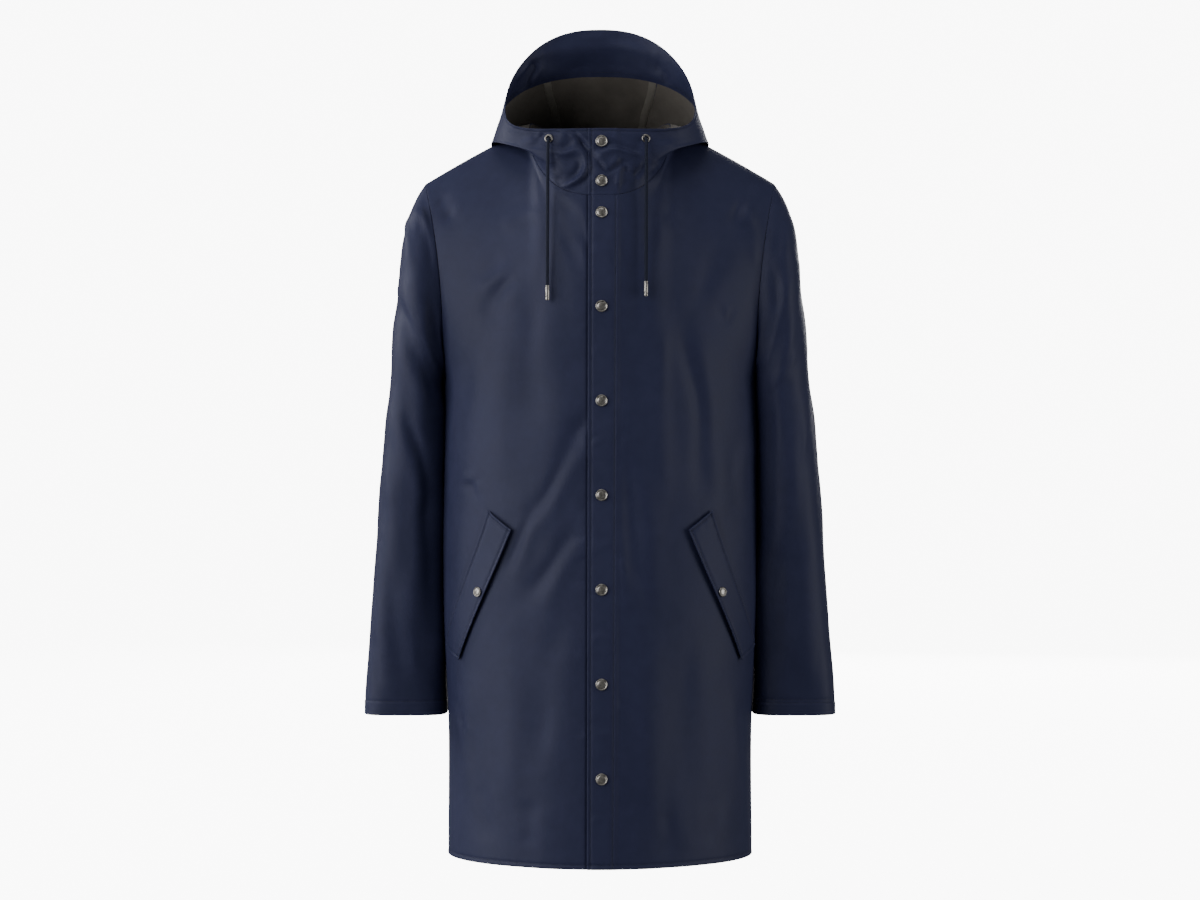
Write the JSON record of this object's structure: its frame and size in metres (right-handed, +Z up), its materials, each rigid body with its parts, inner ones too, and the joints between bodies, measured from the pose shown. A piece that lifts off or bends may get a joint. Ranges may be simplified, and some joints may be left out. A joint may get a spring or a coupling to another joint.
{
  "type": "hooded raincoat",
  "caption": "Straight hooded raincoat of coated cloth, snapped up a lapped front, with set-in sleeves, slanted pocket flaps, and a drawcord hood worn down.",
  "frame": {"origin": "at the base of the neck, in the middle of the coat, where the wearer's shoulders carry it", "axes": "+Z up towards the hood, -Y out of the front, +X towards the wearer's left sleeve"},
  "size_m": [0.612, 0.3381, 1.0711],
  "materials": {
    "coated_cloth": "navy, smooth coated cloth with a satin sheen, and a brownish knit backing inside",
    "snap_metal": "antique silver, lightly worn",
    "cord": "round navy braided cord"
  },
  "bodies": {
    "root": {"front_left": "coated_cloth", "front_right": "coated_cloth", "back": "coated_cloth", "sleeve_left": "coated_cloth", "sleeve_right": "coated_cloth", "hood_left": "coated_cloth", "hood_centre": "coated_cloth", "hood_right": "coated_cloth", "hood_facing": "coated_cloth", "pocket_flap_left": "coated_cloth", "pocket_flap_right": "coated_cloth", "snap_1": "snap_metal", "snap_2": "snap_metal", "snap_3": "snap_metal", "snap_4": "snap_metal", "snap_5": "snap_metal", "snap_6": "snap_metal", "snap_7": "snap_metal", "snap_8": "snap_metal", "snap_9": "snap_metal", "pocket_snap_left": "snap_metal", "pocket_snap_right": "snap_metal", "eyelet_left": "snap_metal", "eyelet_right": "snap_metal", "aglet_left": "snap_metal", "aglet_right": "snap_metal", "drawcord_left": "cord", "drawcord_right": "cord"}
  },
  "joints": []
}
